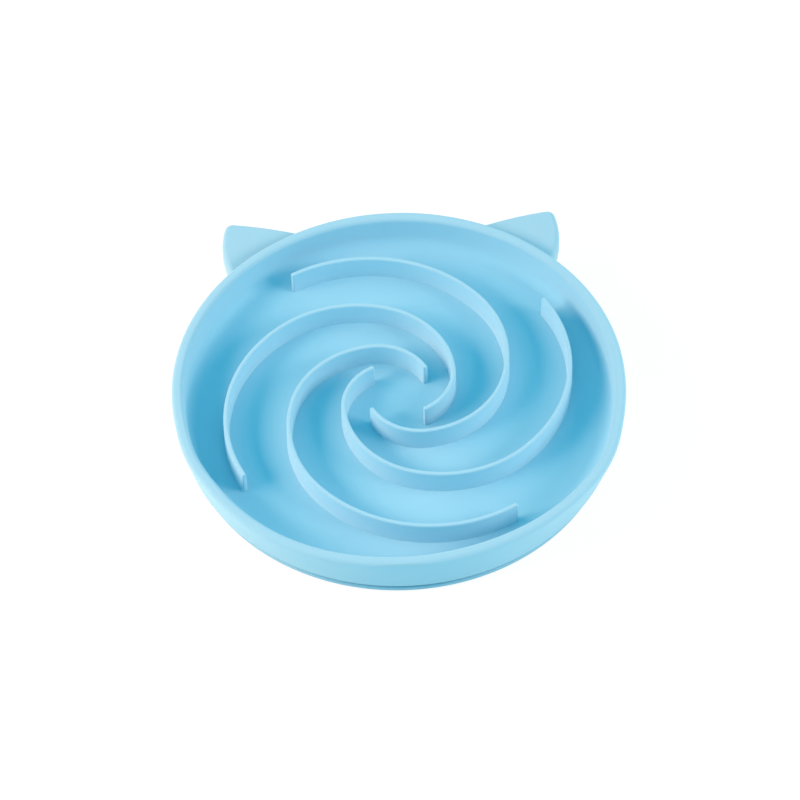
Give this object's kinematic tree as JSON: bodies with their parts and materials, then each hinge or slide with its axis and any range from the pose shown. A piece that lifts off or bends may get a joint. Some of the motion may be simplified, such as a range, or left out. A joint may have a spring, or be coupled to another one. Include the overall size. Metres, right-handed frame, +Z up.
{
  "type": "slow feeder bowl",
  "caption": "Shallow round rubber bowl with two ears and spiral ribs that slow an animal's eating, on a separate base that grips the floor by suction.",
  "frame": {"origin": "on the surface that the base rests on, under the bowl's axis", "axes": "+Z up along the bowl's axis, +Y towards the side with the ears, +X to the right seen from the front"},
  "size_m": [0.2, 0.2015, 0.0268],
  "materials": {
    "bowl_rubber": "matte",
    "base_rubber": "matte"
  },
  "bodies": {
    "base": {"suction_base": "base_rubber"},
    "bowl": {"bowl_shell": "bowl_rubber", "foot_ring": "bowl_rubber", "left_ear": "bowl_rubber", "right_ear": "bowl_rubber", "spiral_rib_1": "bowl_rubber", "spiral_rib_2": "bowl_rubber", "spiral_rib_3": "bowl_rubber", "spiral_rib_4": "bowl_rubber"}
  },
  "joints": [
    {"name": "bowl_lift", "type": "slide", "parent": "base", "child": "bowl", "axis": [0, 0, 1], "range_m": [0, 0.03]}
  ]
}
